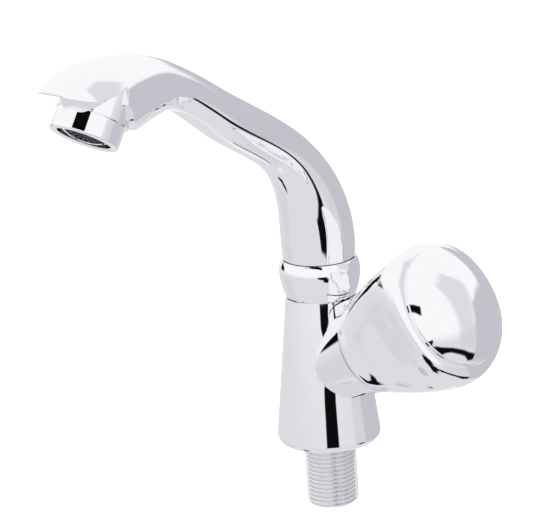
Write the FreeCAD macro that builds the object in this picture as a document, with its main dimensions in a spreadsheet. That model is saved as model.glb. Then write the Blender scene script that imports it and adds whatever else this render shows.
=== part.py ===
import FreeCAD, Part
import math
import os
import Sketcher

# Swan neck tap, in millimetres. The origin is on the tap's upright axis, in the deck face that the body
# stands on. +Z is up, the spout reaches out along -Y, and the knob slopes up along +X. Heights of upright
# pieces are counted from the deck face. Places along the knob's axis are counted from where it crosses the
# upright axis. Places in the aerator are counted from the outlet, up into the nose.

SIZES = {
    # Body casting
    "deck_face_radius": 18.2,
    "body_base_radius": 20.9,
    "body_base_round": 3.0,
    "body_top_radius": 14.2,
    "body_height": 61.1,
    "collar_thread_radius": 11.9,
    "collar_thread_height": 8.9,
    "spout_bore_radius": 9.58,
    "spout_bore_depth": 13.6,
    "inlet_bore_radius": 6.5,
    "inlet_bore_top": 27.0,
    "outlet_way_radius": 3.6,
    "outlet_way_offset": 5.4,
    # Boss and valve chamber, along the knob's axis
    "knob_incline": 30.0,
    "knob_axis_height": 28.4,
    "boss_root_radius": 13.2,
    "boss_face_radius": 19.0,
    "boss_face": 30.8,
    "chamber_radius": 10.5,
    "chamber_floor": 6.5,
    # Threaded inlet shank
    "shank_radius": 10.4775,
    "shank_length": 27.0,
    "shank_chamfer": 1.0,
    "shank_relief_radius": 9.9,
    "shank_relief_height": 1.8,
    "shank_spigot_radius": 9.6,
    "shank_spigot_height": 9.0,
    "base_recess_radius": 11.2,
    "base_recess_depth": 1.2,
    # Valve seat
    "seat_hole_radius": 5.2,
    "seat_lip_radius": 6.6,
    "seat_lip_height": 0.8,
    "seat_flange_radius": 8.6,
    "seat_flange_thickness": 1.2,
    "seat_spigot_radius": 6.4,
    "seat_spigot_length": 3.5,
    # Collar round the spout's foot
    "collar_gap": 0.5,
    "collar_height": 15.0,
    "collar_foot_radius": 14.2,
    "collar_bulge_radius": 16.2,
    "collar_bulge_height": 9.9,
    "collar_top_radius": 14.7,
    "slip_washer_thickness": 1.0,
    "slip_washer_radius": 12.6,
    "slip_washer_sink": 0.7,
    # Spout tail and its rings
    "tail_radius": 9.5,
    "tail_bore_radius": 5.6,
    "tail_end_gap": 1.0,
    "tail_thread_radius": 8.9,
    "tail_thread_height": 9.0,
    "tail_groove_radius": 7.4,
    "tail_groove_width": 2.4,
    "tail_ring_section": 2.1,
    "tail_ring_inset": 3.0,
    "tail_ring_spacing": 6.5,
    "split_ring_radius": 11.4,
    "split_ring_bore": 8.15,
    "split_ring_thickness": 1.9,
    "split_ring_arc": 330.0,
    "ring_play": 0.3,
    # Swan neck
    "neck_foot_radius": 14.4,
    "neck_bulge_radius": 14.75,
    "neck_rise": 6.0,
    "neck_bend_radius": 55.0,
    "neck_slope": 32.5,
    "neck_middle_radius": 9.6,
    "neck_end_radius": 8.8,
    "waterway_radius": 5.8,
    # Nose and outlet
    "outlet_reach": 122.4,
    "outlet_height": 152.8,
    "outlet_tilt": 34.0,
    "nose_half_width": 16.0,
    "nose_lip": 23.5,
    "nose_heel": 16.6,
    "nose_back": 31.0,
    "nose_crown": 33.2,
    "nose_throat": 15.4,
    "nose_boss_radius": 13.7,
    "nose_boss_set_back": 0.7,
    "nose_boss_height": 13.0,
    "nose_boss_step": 2.7,
    "arch_reach": 2.0,
    "arch_height": 13.0,
    "arch_curve": 26.0,
    "arch_corner": 6.0,
    # Aerator
    "aerator_drop": 8.5,
    "aerator_radius": 13.0,
    "aerator_edge": 0.6,
    "aerator_mouth_radius": 10.8,
    "aerator_bore_radius": 10.2,
    "aerator_ledge_radius": 9.2,
    "aerator_ledge_place": 4.6,
    "aerator_ledge_thickness": 1.0,
    "aerator_thread_radius": 11.9,
    "aerator_thread_length": 5.6,
    "aerator_gap": 0.4,
    "aerator_washer_bore": 9.0,
    "aerator_washer_thickness": 1.6,
    "insert_height": 5.0,
    "insert_hole_radius": 1.1,
    "insert_hole_circle": 6.8,
    "screen_thickness": 0.6,
    "screen_hole_radius": 1.4,
    "screen_hole_circle": 6.4,
    # Headwork bonnet
    "bonnet_foot": 18.5,
    "bonnet_thread_radius": 10.4,
    "bonnet_bore_radius": 7.1,
    "bonnet_bore_top": 32.6,
    "bonnet_hex_flats": 23.0,
    "bonnet_hex_height": 6.0,
    "bonnet_neck_radius": 7.6,
    "bonnet_top": 50.0,
    "bonnet_slot_width": 3.2,
    "bonnet_slot_radius": 8.8,
    "bonnet_slot_length": 11.0,
    "seal_washer_radius": 12.8,
    "seal_washer_thickness": 1.0,
    # Spindle
    "spindle_radius": 4.5,
    "spindle_foot": 19.8,
    "spindle_collar_radius": 6.7,
    "spindle_collar_thickness": 1.3,
    "thrust_washer_thickness": 0.5,
    "spindle_shoulder": 53.0,
    "spindle_square": 6.3,
    "spindle_top": 65.8,
    "spindle_groove_radius": 3.1,
    "spindle_groove_width": 1.7,
    "spindle_ring_section": 1.35,
    "spindle_ring_inset": 8.5,
    "spindle_ring_spacing": 4.5,
    "circlip_thickness": 0.9,
    "circlip_radius": 6.3,
    "circlip_groove_radius": 3.7,
    "circlip_arc": 300.0,
    "screw_hole_radius": 2.05,
    "screw_hole_depth": 9.0,
    # Valve
    "washer_radius": 8.0,
    "washer_thickness": 3.5,
    "carrier_flange_radius": 8.4,
    "carrier_flange_thickness": 1.6,
    "carrier_radius": 7.0,
    "carrier_top": 26.0,
    "carrier_bore_floor": 15.0,
    "carrier_key_width": 3.0,
    "carrier_key_radius": 8.6,
    "carrier_key_height": 4.0,
    "carrier_key_foot": 20.0,
    "washer_stud_radius": 1.6,
    "washer_stud_length": 2.6,
    "washer_nut_flats": 5.5,
    "washer_nut_thickness": 2.0,
    # Knob shell
    "knob_gap": 0.5,
    "knob_side_radius": 19.2,
    "knob_side_flare": 2.5,
    "knob_side_cove": 5.0,
    "knob_ridge_radius": 19.5,
    "knob_ridge_flare": 11.5,
    "knob_ridge_round": 6.0,
    "knob_side_turn": -79.0,
    "knob_shoulder_radius": 31.4,
    "knob_shoulder_place": 68.0,
    "knob_shoulder_curve": 9.6,
    "knob_front_radius": 24.2,
    "knob_front": 76.6,
    "knob_cavity_radius": 16.8,
    "knob_cavity_floor": 60.4,
    "knob_hub_radius": 10.8,
    "knob_hub_foot": 52.6,
    "cap_recess_radius": 18.6,
    "cap_recess_floor": 66.4,
    # Knob fittings
    "bush_radius": 7.6,
    "bush_foot": 53.6,
    "bush_flange_radius": 9.4,
    "bush_flange_thickness": 1.2,
    "knob_screw_radius": 1.95,
    "knob_screw_length": 9.0,
    "knob_screw_head_radius": 5.2,
    "knob_screw_head_height": 2.6,
    "knob_screw_slot_width": 1.2,
    "knob_screw_slot_depth": 1.3,
    "cap_radius": 23.8,
    "cap_edge": 1.3,
    "cap_dome_height": 10.2,
    "cap_wall": 1.8,
    "cap_spigot_length": 4.0,
    "cap_spigot_wall": 1.4,
    # Clearances
    "fit_clearance": 0.06,
    "face_clearance": 0.05,
    "thread_clearance": 0.1,
    "ring_clearance": 0.03,
}
O_RING_COUNT = 2
HOLE_COUNT = 12

doc = FreeCAD.newDocument("swan_neck_tap")
dim = doc.addObject("Spreadsheet::Sheet", "dim")
for row, (alias, amount) in enumerate(SIZES.items(), start=1):
    dim.set("A%d" % row, alias)
    dim.set("B%d" % row, str(amount))
    dim.setAlias("B%d" % row, alias)
doc.recompute()


class Size:
    """A length or angle: its number, and the formula that binds it to the sheet."""

    def __init__(self, amount, formula):
        self.amount = amount
        self.formula = formula

    def __add__(self, other):
        return joined(self, "+", other, amount_of(self) + amount_of(other))

    def __radd__(self, other):
        return joined(other, "+", self, amount_of(other) + amount_of(self))

    def __sub__(self, other):
        return joined(self, "-", other, amount_of(self) - amount_of(other))

    def __rsub__(self, other):
        return joined(other, "-", self, amount_of(other) - amount_of(self))

    def __mul__(self, other):
        return joined(self, "*", other, amount_of(self) * amount_of(other))

    def __rmul__(self, other):
        return joined(other, "*", self, amount_of(other) * amount_of(self))

    def __truediv__(self, other):
        return joined(self, "/", other, amount_of(self) / amount_of(other))

    def __pow__(self, other):
        return joined(self, "^", other, amount_of(self) ** amount_of(other))

    def __neg__(self):
        return joined(0, "-", self, -amount_of(self))


def amount_of(item):
    return item.amount if isinstance(item, Size) else float(item)


def formula_of(item):
    return item.formula if isinstance(item, Size) else repr(float(item))


def joined(left, sign, right, amount):
    return Size(amount, "(%s %s %s)" % (formula_of(left), sign, formula_of(right)))


def sine(angle):
    return Size(math.sin(math.radians(amount_of(angle))), "sin(%s)" % formula_of(angle))


def cosine(angle):
    return Size(math.cos(math.radians(amount_of(angle))), "cos(%s)" % formula_of(angle))


def slope_of(rise, run):
    """The angle whose tangent is rise over run, in degrees."""
    degrees = math.degrees(math.atan2(amount_of(rise), amount_of(run)))
    return Size(degrees, "(atan2(%s; %s) / 1 deg)" % (formula_of(rise), formula_of(run)))


def larger(one, other):
    return Size(max(amount_of(one), amount_of(other)), "max(%s; %s)" % (formula_of(one), formula_of(other)))


class Sheet:
    """The sheet's sizes by name, such as D.body_height."""

    def __getattr__(self, alias):
        return Size(float(SIZES[alias]), "dim.%s" % alias)


D = Sheet()


# Ways to draw and to build

def bind(item, path, size):
    item.setExpression(path, formula_of(size))


def new_body(label):
    body = doc.addObject("PartDesign::Body", label)
    body.Label = label
    return body


def new_sketch(body, role, height=0):
    sketch = body.newObject("Sketcher::SketchObject", body.Label + "_sketch")
    plane = [item for item in body.Origin.OriginFeatures if item.Role == role][0]
    sketch.AttachmentSupport = [(plane, "")]
    sketch.MapMode = "FlatFace"
    bind(sketch, "AttachmentOffset.Base.z", height)
    return sketch


def hold(sketch, kind, places, size):
    index = sketch.addConstraint(Sketcher.Constraint(kind, *places, amount_of(size)))
    if isinstance(size, Size):
        bind(sketch, "Constraints[%d]" % index, size)


def arc_between(start, end, bulge):
    """The short arc from start to end. A positive radius bulges to the right of the way, a negative one left."""
    half = (end - start) * 0.5
    left = FreeCAD.Vector(-half.y, half.x, 0).normalize()
    rise = math.sqrt(bulge ** 2 - half.Length ** 2)
    centre = start + half + left * (rise if bulge > 0 else -rise)
    first, last = (start, end) if bulge > 0 else (end, start)
    circle = Part.Circle(centre, FreeCAD.Vector(0, 0, 1), abs(bulge))
    angles = [math.atan2(point.y - centre.y, point.x - centre.x) for point in (first, last)]
    return Part.ArcOfCircle(circle, *angles)


def draw_outline(sketch, corners):
    """A closed outline. A corner is x and y, and a third size is the radius of an arc to the next corner."""
    points = [FreeCAD.Vector(amount_of(corner[0]), amount_of(corner[1]), 0) for corner in corners]
    ends = []
    for index, corner in enumerate(corners):
        start, end = points[index], points[(index + 1) % len(points)]
        if len(corner) == 2:
            sketch.addGeometry(Part.LineSegment(start, end), False)
            ends.append((1, 2))
            continue
        bulge = amount_of(corner[2])
        sketch.addGeometry(arc_between(start, end, bulge), False)
        ends.append((1, 2) if bulge > 0 else (2, 1))
    for index in range(len(corners)):
        following = (index + 1) % len(corners)
        places = (index, ends[index][1], following, ends[following][0])
        sketch.addConstraint(Sketcher.Constraint("Coincident", *places))
    for index, corner in enumerate(corners):
        hold(sketch, "DistanceX", (-1, 1, index, ends[index][0]), corner[0])
        hold(sketch, "DistanceY", (-1, 1, index, ends[index][0]), corner[1])
        if len(corner) == 3:
            hold(sketch, "Radius", (index,), corner[2] if amount_of(corner[2]) > 0 else -corner[2])
    return sketch


def draw_circle(sketch, radius, across=0, up=0):
    circle = Part.Circle(FreeCAD.Vector(amount_of(across), amount_of(up), 0), FreeCAD.Vector(0, 0, 1),
                         amount_of(radius))
    index = sketch.addGeometry(circle, False)
    hold(sketch, "DistanceX", (-1, 1, index, 3), across)
    hold(sketch, "DistanceY", (-1, 1, index, 3), up)
    hold(sketch, "Radius", (index,), radius)
    return sketch


def turn(body, kind, corners, angle=360, lean=None):
    """Turns an outline of radii and heights about the body's Z axis, or about the knob's axis."""
    sketch = new_sketch(body, "XZ_Plane")
    if lean is not None:
        height, tilt = lean
        bind(sketch, "AttachmentOffset.Base.y", height)
        sketch.AttachmentOffset = FreeCAD.Placement(FreeCAD.Vector(0, amount_of(height), 0),
                                                    FreeCAD.Rotation(FreeCAD.Vector(0, 0, 1), -1))
        bind(sketch, "AttachmentOffset.Rotation.Angle", tilt)
    draw_outline(sketch, corners)
    feature = body.newObject(kind, body.Label + "_turn")
    feature.Profile = sketch
    feature.ReferenceAxis = (sketch, ["V_Axis"])
    bind(feature, "Angle", angle)
    sketch.Visibility = False
    doc.recompute()
    return feature


def add_turned(body, corners, angle=360, lean=None):
    return turn(body, "PartDesign::Revolution", corners, angle, lean)


def cut_turned(body, corners, lean=None):
    before = body.Shape.Volume
    feature = turn(body, "PartDesign::Groove", corners, 360, lean)
    if body.Shape.Volume >= before:
        raise RuntimeError("A groove cuts nothing from " + body.Label)
    return feature


def add_pad(body, draw, foot, length, role="XY_Plane"):
    """A prism of what draw puts in a sketch, from the foot along the plane's normal."""
    sketch = new_sketch(body, role, foot)
    draw(sketch)
    pad = body.newObject("PartDesign::Pad", body.Label + "_pad")
    pad.Profile = sketch
    bind(pad, "Length", length)
    doc.recompute()
    return pad


def cut_pocket(body, draw, top, depth):
    """Cuts a prism of what draw puts in a sketch, downwards from the top."""
    before = body.Shape.Volume
    sketch = new_sketch(body, "XY_Plane", top)
    draw(sketch)
    pocket = body.newObject("PartDesign::Pocket", body.Label + "_pocket")
    pocket.Profile = sketch
    bind(pocket, "Length", depth)
    doc.recompute()
    if body.Shape.Volume >= before:
        raise RuntimeError("A pocket cuts nothing from " + body.Label)
    return pocket


def repeat_round(body, feature, count):
    axis = [item for item in body.Origin.OriginFeatures if item.Role == "Z_Axis"][0]
    pattern = body.newObject("PartDesign::PolarPattern", body.Label + "_round")
    pattern.Originals = [feature]
    pattern.Axis = (axis, [""])
    pattern.Angle = 360
    pattern.Occurrences = count
    body.Tip = pattern
    doc.recompute()
    return pattern


def box_corners(half_x, half_y):
    return [(-half_x, -half_y), (half_x, -half_y), (half_x, half_y), (-half_x, half_y)]


def hexagon_corners(flats):
    point_radius = flats / math.sqrt(3)
    return [(point_radius * math.cos(math.radians(60 * index)), point_radius * math.sin(math.radians(60 * index)))
            for index in range(6)]


def ring_corners(inner, outer, foot, top):
    return [(inner, foot), (outer, foot), (outer, top), (inner, top)]


def disc_corners(radius, foot, top):
    return ring_corners(0, radius, foot, top)


KNOB_LEAN = (D.knob_axis_height, D.knob_incline - 90)


def set_along_knob(item, place=0):
    """Stands a piece that was drawn upright on the knob's axis."""
    tilt = "rotation(vector(0; 1; 0); 90 - dim.knob_incline)"
    reach = formula_of(place * cosine(D.knob_incline))
    height = formula_of(D.knob_axis_height + place * sine(D.knob_incline))
    item.setExpression("Placement", "placement(vector(%s; 0; %s); %s)" % (reach, height, tilt))
    return item


def set_along_outlet(item, place=0):
    """Stands a piece that was drawn upright on the outlet's axis, which leans with the nose."""
    tilt = "rotation(vector(1; 0; 0); -dim.outlet_tilt)"
    reach = formula_of(place * sine(D.outlet_tilt) - D.outlet_reach)
    height = formula_of(D.outlet_height + place * cosine(D.outlet_tilt))
    item.setExpression("Placement", "placement(vector(0; %s; %s); %s)" % (reach, height, tilt))
    return item


# Places that several pieces share

SPOUT_BORE_FLOOR = D.body_height - D.spout_bore_depth
TAIL_FOOT = SPOUT_BORE_FLOOR + D.tail_end_gap
COLLAR_FOOT = D.body_height + D.collar_gap
COLLAR_TOP = COLLAR_FOOT + D.collar_height
SLIP_WASHER_FOOT = COLLAR_TOP - D.slip_washer_sink
SPOUT_FOOT = SLIP_WASHER_FOOT + D.slip_washer_thickness + D.face_clearance
SPLIT_RING_FOOT = D.body_height + D.collar_thread_height + D.ring_play
SPLIT_RING_TOP = SPLIT_RING_FOOT + D.split_ring_thickness
SEAT_FACE = D.chamber_floor + D.seat_flange_thickness + D.seat_lip_height
WASHER_FOOT = SEAT_FACE + D.face_clearance
CARRIER_FOOT = WASHER_FOOT + D.washer_thickness
HEX_FOOT = D.boss_face + D.seal_washer_thickness
THRUST_WASHER_TOP = D.bonnet_bore_top - D.face_clearance
SPINDLE_COLLAR_TOP = THRUST_WASHER_TOP - D.thrust_washer_thickness
CIRCLIP_FOOT = D.bonnet_top + D.ring_play
CIRCLIP_TOP = CIRCLIP_FOOT + D.circlip_thickness
KNOB_FOOT = D.boss_face + D.knob_gap
BUSH_TOP = D.cap_recess_floor + D.bush_flange_thickness
CAP_RIM = D.knob_front + D.cap_edge
AERATOR_TOP = D.aerator_drop - D.aerator_gap
AERATOR_THREAD_TOP = D.aerator_drop + D.aerator_thread_length
AERATOR_WASHER_TOP = AERATOR_THREAD_TOP + D.face_clearance + D.aerator_washer_thickness
LEDGE_TOP = D.aerator_ledge_place + D.aerator_ledge_thickness
INSERT_TOP = LEDGE_TOP + D.insert_height
TAIL_RING_HEIGHTS = [TAIL_FOOT + D.tail_ring_inset + index * D.tail_ring_spacing
                     for index in range(O_RING_COUNT)]
SPINDLE_RING_HEIGHTS = [D.bonnet_top - D.spindle_ring_inset + index * D.spindle_ring_spacing
                        for index in range(O_RING_COUNT)]


# Fixed body

def body_casting():
    """Tapered body with the sloping boss, the valve chamber and the waterways."""
    body = new_body("body_casting")
    thread_top = D.body_height + D.collar_thread_height
    add_turned(body, [
        (0, 0),
        (D.deck_face_radius, 0, D.body_base_round),
        (D.body_base_radius, D.body_base_round),
        (D.body_top_radius, D.body_height),
        (D.collar_thread_radius, D.body_height),
        (D.collar_thread_radius, thread_top),
        (0, thread_top),
    ])
    add_turned(body, [
        (0, 0),
        (D.boss_root_radius, 0),
        (D.boss_face_radius, D.boss_face),
        (0, D.boss_face),
    ], lean=KNOB_LEAN)
    cut_turned(body, disc_corners(D.spout_bore_radius, SPOUT_BORE_FLOOR, thread_top))
    cut_turned(body, disc_corners(D.base_recess_radius, 0, D.base_recess_depth))
    cut_turned(body, disc_corners(D.shank_spigot_radius + D.face_clearance, 0, D.shank_spigot_height))
    cut_turned(body, disc_corners(D.inlet_bore_radius, 0, D.inlet_bore_top))
    cut_turned(body, disc_corners(D.chamber_radius, D.chamber_floor, D.boss_face), lean=KNOB_LEAN)
    seat_foot = D.chamber_floor - D.seat_spigot_length
    cut_turned(body, disc_corners(D.seat_spigot_radius + D.face_clearance, seat_foot, D.chamber_floor),
               lean=KNOB_LEAN)
    cut_turned(body, disc_corners(D.seat_hole_radius, 0, D.chamber_floor), lean=KNOB_LEAN)
    cut_pocket(body, lambda sketch: draw_circle(sketch, D.outlet_way_radius, D.outlet_way_offset),
               SPOUT_BORE_FLOOR, SPOUT_BORE_FLOOR - D.knob_axis_height - D.chamber_floor)
    return body


def inlet_shank():
    """Threaded inlet pipe under the body, with its thread relief and spigot."""
    body = new_body("inlet_shank")
    foot = -D.shank_length
    relief_foot = D.base_recess_depth - D.shank_relief_height
    add_turned(body, [
        (D.inlet_bore_radius, foot),
        (D.shank_radius - D.shank_chamfer, foot),
        (D.shank_radius, foot + D.shank_chamfer),
        (D.shank_radius, relief_foot),
        (D.shank_relief_radius, relief_foot),
        (D.shank_relief_radius, D.base_recess_depth),
        (D.shank_spigot_radius, D.base_recess_depth),
        (D.shank_spigot_radius, D.shank_spigot_height),
        (D.inlet_bore_radius, D.shank_spigot_height),
    ])
    return body


def valve_seat():
    """Seat with a raised lip, pressed into the floor of the valve chamber."""
    body = new_body("valve_seat")
    flange_top = D.chamber_floor + D.seat_flange_thickness
    add_turned(body, [
        (D.seat_hole_radius, D.chamber_floor - D.seat_spigot_length),
        (D.seat_spigot_radius, D.chamber_floor - D.seat_spigot_length),
        (D.seat_spigot_radius, D.chamber_floor),
        (D.seat_flange_radius, D.chamber_floor),
        (D.seat_flange_radius, flange_top),
        (D.seat_lip_radius, flange_top),
        (D.seat_lip_radius, SEAT_FACE),
        (D.seat_hole_radius, SEAT_FACE),
    ])
    return set_along_knob(body)


def spout_collar():
    """Barrel-shaped collar nut that screws on the body and holds the spout's split ring down."""
    body = new_body("spout_collar")
    low_swell = D.collar_bulge_radius - D.collar_foot_radius
    low_curve = (D.collar_bulge_height * D.collar_bulge_height + low_swell * low_swell) / (2 * low_swell)
    high_rise = D.collar_height - D.collar_bulge_height
    high_swell = D.collar_bulge_radius - D.collar_top_radius
    high_curve = (high_rise * high_rise + high_swell * high_swell) / (2 * high_swell)
    shoulder = SPLIT_RING_TOP + D.ring_play
    bore = D.collar_thread_radius + D.thread_clearance
    washer_seat = D.slip_washer_radius + D.thread_clearance
    add_turned(body, [
        (bore, COLLAR_FOOT),
        (D.collar_foot_radius, COLLAR_FOOT, low_curve),
        (D.collar_bulge_radius, COLLAR_FOOT + D.collar_bulge_height, high_curve),
        (D.collar_top_radius, COLLAR_TOP),
        (washer_seat, COLLAR_TOP),
        (washer_seat, SLIP_WASHER_FOOT),
        (D.spout_bore_radius, SLIP_WASHER_FOOT),
        (D.spout_bore_radius, shoulder),
        (bore, shoulder),
    ])
    return body


def spout_slip_washer():
    """Plastic washer in the collar's top that the spout turns on."""
    body = new_body("spout_slip_washer")
    top = SLIP_WASHER_FOOT + D.slip_washer_thickness
    add_turned(body, ring_corners(D.spout_bore_radius, D.slip_washer_radius, SLIP_WASHER_FOOT, top))
    return body


def headwork_bonnet():
    """Bonnet that screws into the boss: slotted guide for the valve, hexagon, and spindle neck."""
    body = new_body("headwork_bonnet")
    hex_top = HEX_FOOT + D.bonnet_hex_height
    add_turned(body, disc_corners(D.bonnet_thread_radius, D.bonnet_foot, HEX_FOOT))
    add_pad(body, lambda sketch: draw_outline(sketch, hexagon_corners(D.bonnet_hex_flats)), HEX_FOOT,
            D.bonnet_hex_height)
    add_turned(body, disc_corners(D.bonnet_neck_radius, hex_top - 1, D.bonnet_top))
    cut_turned(body, disc_corners(D.bonnet_bore_radius, D.bonnet_foot, D.bonnet_bore_top))
    cut_turned(body, disc_corners(D.spindle_radius + D.fit_clearance, D.bonnet_foot, D.bonnet_top))
    slot_top = D.bonnet_foot + D.bonnet_slot_length
    cut_pocket(body, lambda sketch: draw_outline(sketch, box_corners(D.bonnet_slot_radius, D.bonnet_slot_width / 2)),
               slot_top, D.bonnet_slot_length)
    return set_along_knob(body)


def headwork_seal_washer():
    """Fibre washer between the boss and the bonnet's hexagon."""
    body = new_body("headwork_seal_washer")
    add_turned(body, ring_corners(D.chamber_radius, D.seal_washer_radius, D.boss_face, HEX_FOOT))
    return set_along_knob(body)


# Swinging spout

def swan_neck_stations():
    """Round sections up the neck: y, z, the turn from upright, the half height and the half width."""
    foot = SPOUT_FOOT
    bend_foot = foot + D.neck_rise
    bend_turn = 90 - D.neck_slope
    stations = [
        (0, foot, 0, D.neck_foot_radius, D.neck_foot_radius),
        (0, bend_foot, 0, D.neck_bulge_radius, D.neck_bulge_radius),
    ]
    bend_steps = 4
    for step in range(1, bend_steps + 1):
        share = step / bend_steps
        angle = bend_turn * share
        shrink = share * share * (3 - 2 * share)
        radius = D.neck_bulge_radius + (D.neck_middle_radius - D.neck_bulge_radius) * shrink
        across = -D.neck_bend_radius * (1 - cosine(angle))
        height = bend_foot + D.neck_bend_radius * sine(angle)
        stations.append((across, height, angle, radius, radius))
    bend_end, nose_start = stations[-1], nose_stations()[0]
    stations.append(tuple((first + last) / 2 for first, last in zip(bend_end, nose_start)))
    return stations


def nose_stations():
    """Oval sections that fan round from the neck's end to the flat seat under the nose."""
    seat_y = D.aerator_drop * sine(D.outlet_tilt) - D.outlet_reach
    seat_z = D.outlet_height + D.aerator_drop * cosine(D.outlet_tilt)
    stations = []
    for share in (0.0, 0.18, 0.44, 0.72, 0.93, 1.0):
        ridge_along = (D.nose_lip + D.nose_back) * share - D.nose_back
        ridge_up = D.nose_crown * (1 - share ** 1.6) ** 0.625
        heel_along = -(D.nose_back + 1.5) + (D.nose_back + 1.5 - D.nose_heel) * share
        heel_up = D.nose_throat * (1 - share)
        width_share = share * share * (3 - 2 * share)
        half_width = D.neck_end_radius + (D.nose_half_width - D.neck_end_radius) * width_share
        run = ridge_along - heel_along
        rise = ridge_up - heel_up
        half_height = (run * run + rise * rise) ** 0.5 / 2
        along = (ridge_along + heel_along) / 2
        up = (ridge_up + heel_up) / 2
        across = seat_y - along * cosine(D.outlet_tilt) + up * sine(D.outlet_tilt)
        height = seat_z + along * sine(D.outlet_tilt) + up * cosine(D.outlet_tilt)
        angle = 180 - D.outlet_tilt - slope_of(rise, run)
        stations.append((across, height, angle, half_height, half_width))
    return stations


def oval_section(label, station):
    across, height, angle, half_height, half_width = station
    oval = doc.addObject("Part::Ellipse", label)
    long_half = larger(half_height, half_width)
    oval.MajorRadius = amount_of(long_half)
    oval.MinorRadius = amount_of(half_width)
    bind(oval, "MajorRadius", long_half)
    bind(oval, "MinorRadius", half_width)
    turned = "rotation(vector(1; 0; 0); %s) * rotation(vector(0; 0; 1); 90)" % formula_of(angle)
    place = "vector(0; %s; %s)" % (formula_of(across), formula_of(height))
    oval.setExpression("Placement", "placement(%s; %s)" % (place, turned))
    return oval


def upright_cylinder(label, radius, foot, length):
    cylinder = doc.addObject("Part::Cylinder", label)
    bind(cylinder, "Radius", radius)
    bind(cylinder, "Height", length)
    bind(cylinder, "Placement.Base.z", foot)
    return cylinder


def cut(label, base, tool):
    feature = doc.addObject("Part::Cut", label)
    feature.Label = label
    feature.Base = base
    feature.Tool = tool
    return feature


def loft_through(label, sections):
    loft = doc.addObject("Part::Loft", label)
    loft.Sections = sections
    loft.Solid = True
    loft.Ruled = False
    return loft


def hood_arch():
    """What is cut from under the nose, so that its hood overhangs the outlet's boss in an arch."""
    body = new_body("hood_arch")
    seat = D.aerator_drop
    tip = -(D.nose_lip + 1.5)
    beyond = tip - 5
    behind = D.nose_heel + 6
    step = seat + D.nose_boss_step
    outline = [
        (beyond, seat - 5),
        (behind, seat - 5),
        (behind, step),
        (D.arch_corner, step, D.arch_corner),
        (0, step + D.arch_corner * 0.6),
        (-D.arch_reach, seat + D.arch_height, -D.arch_curve),
        (tip, seat - 0.35),
        (beyond, seat - 0.35),
    ]
    half_width = D.nose_half_width + 6
    add_pad(body, lambda sketch: draw_outline(sketch, outline), -half_width, 2 * half_width, "YZ_Plane")
    return set_along_outlet(body)


def spout_casting():
    """Hollow swan neck that tapers up its bend and flares into a hood over the outlet's boss."""
    outer = swan_neck_stations() + nose_stations()
    neck = loft_through("neck_outside", [oval_section("neck_oval_%d" % index, station)
                                         for index, station in enumerate(outer)])
    boss = new_body("nose_boss")
    add_pad(boss, lambda sketch: draw_circle(sketch, D.nose_boss_radius, 0, D.nose_boss_set_back),
            D.aerator_drop, D.nose_boss_height)
    bossed = doc.addObject("Part::Fuse", "bossed_neck")
    bossed.Base = cut("arched_neck", neck, hood_arch())
    bossed.Tool = set_along_outlet(boss)
    inner = [(across, height, angle, D.waterway_radius, D.waterway_radius)
             for across, height, angle, _, _ in swan_neck_stations() + nose_stations()[:5]]
    inner_loft = loft_through("neck_waterway", [oval_section("water_oval_%d" % index, station)
                                                for index, station in enumerate(inner)])
    socket = set_along_outlet(upright_cylinder("nose_socket", D.aerator_thread_radius + D.thread_clearance, 0,
                                               AERATOR_WASHER_TOP))
    foot_socket = upright_cylinder("foot_socket", D.tail_thread_radius + D.thread_clearance, SPOUT_FOOT,
                                   D.tail_thread_height)
    hollow = cut("hollow_neck", bossed, inner_loft)
    footed = cut("footed_neck", hollow, foot_socket)
    return cut("spout_casting", footed, socket)


def spout_tail():
    """Tube screwed into the spout's foot, with grooves for its sealing rings and its split ring."""
    body = new_body("spout_tail")
    thread_top = SPOUT_FOOT + D.tail_thread_height
    add_turned(body, [
        (D.tail_bore_radius, TAIL_FOOT),
        (D.tail_radius, TAIL_FOOT),
        (D.tail_radius, SPOUT_FOOT),
        (D.tail_thread_radius, SPOUT_FOOT),
        (D.tail_thread_radius, thread_top),
        (D.tail_bore_radius, thread_top),
    ])
    half_groove = D.tail_groove_width / 2
    for height in TAIL_RING_HEIGHTS:
        cut_turned(body, ring_corners(D.tail_groove_radius, D.tail_radius, height - half_groove,
                                      height + half_groove))
    cut_turned(body, ring_corners(D.split_ring_bore - D.face_clearance, D.tail_radius,
                                  SPLIT_RING_FOOT - D.face_clearance, SPLIT_RING_TOP + D.face_clearance))
    return body


def o_rings(label, groove_radius, section, heights, place):
    """Rubber rings of one size, seated in the grooves of a shaft."""
    rings = []
    for index, height in enumerate(heights):
        ring = doc.addObject("Part::Torus", "%s_%d" % (label, index + 1))
        bind(ring, "Radius1", groove_radius + D.ring_clearance + section / 2)
        bind(ring, "Radius2", section / 2)
        rings.append(place(ring, height))
    group = doc.addObject("Part::Compound", label)
    group.Label = label
    group.Links = rings
    return group


def set_upright(item, height):
    bind(item, "Placement.Base.z", height)
    return item


def tail_o_rings():
    return o_rings("tail_o_rings", D.tail_groove_radius, D.tail_ring_section, TAIL_RING_HEIGHTS, set_upright)


def spout_split_ring():
    """Open plastic ring in the tail's groove, trapped between the body's top and the collar's shoulder."""
    body = new_body("spout_split_ring")
    add_turned(body, ring_corners(D.split_ring_bore, D.split_ring_radius, SPLIT_RING_FOOT, SPLIT_RING_TOP),
               D.split_ring_arc)
    return body


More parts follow.
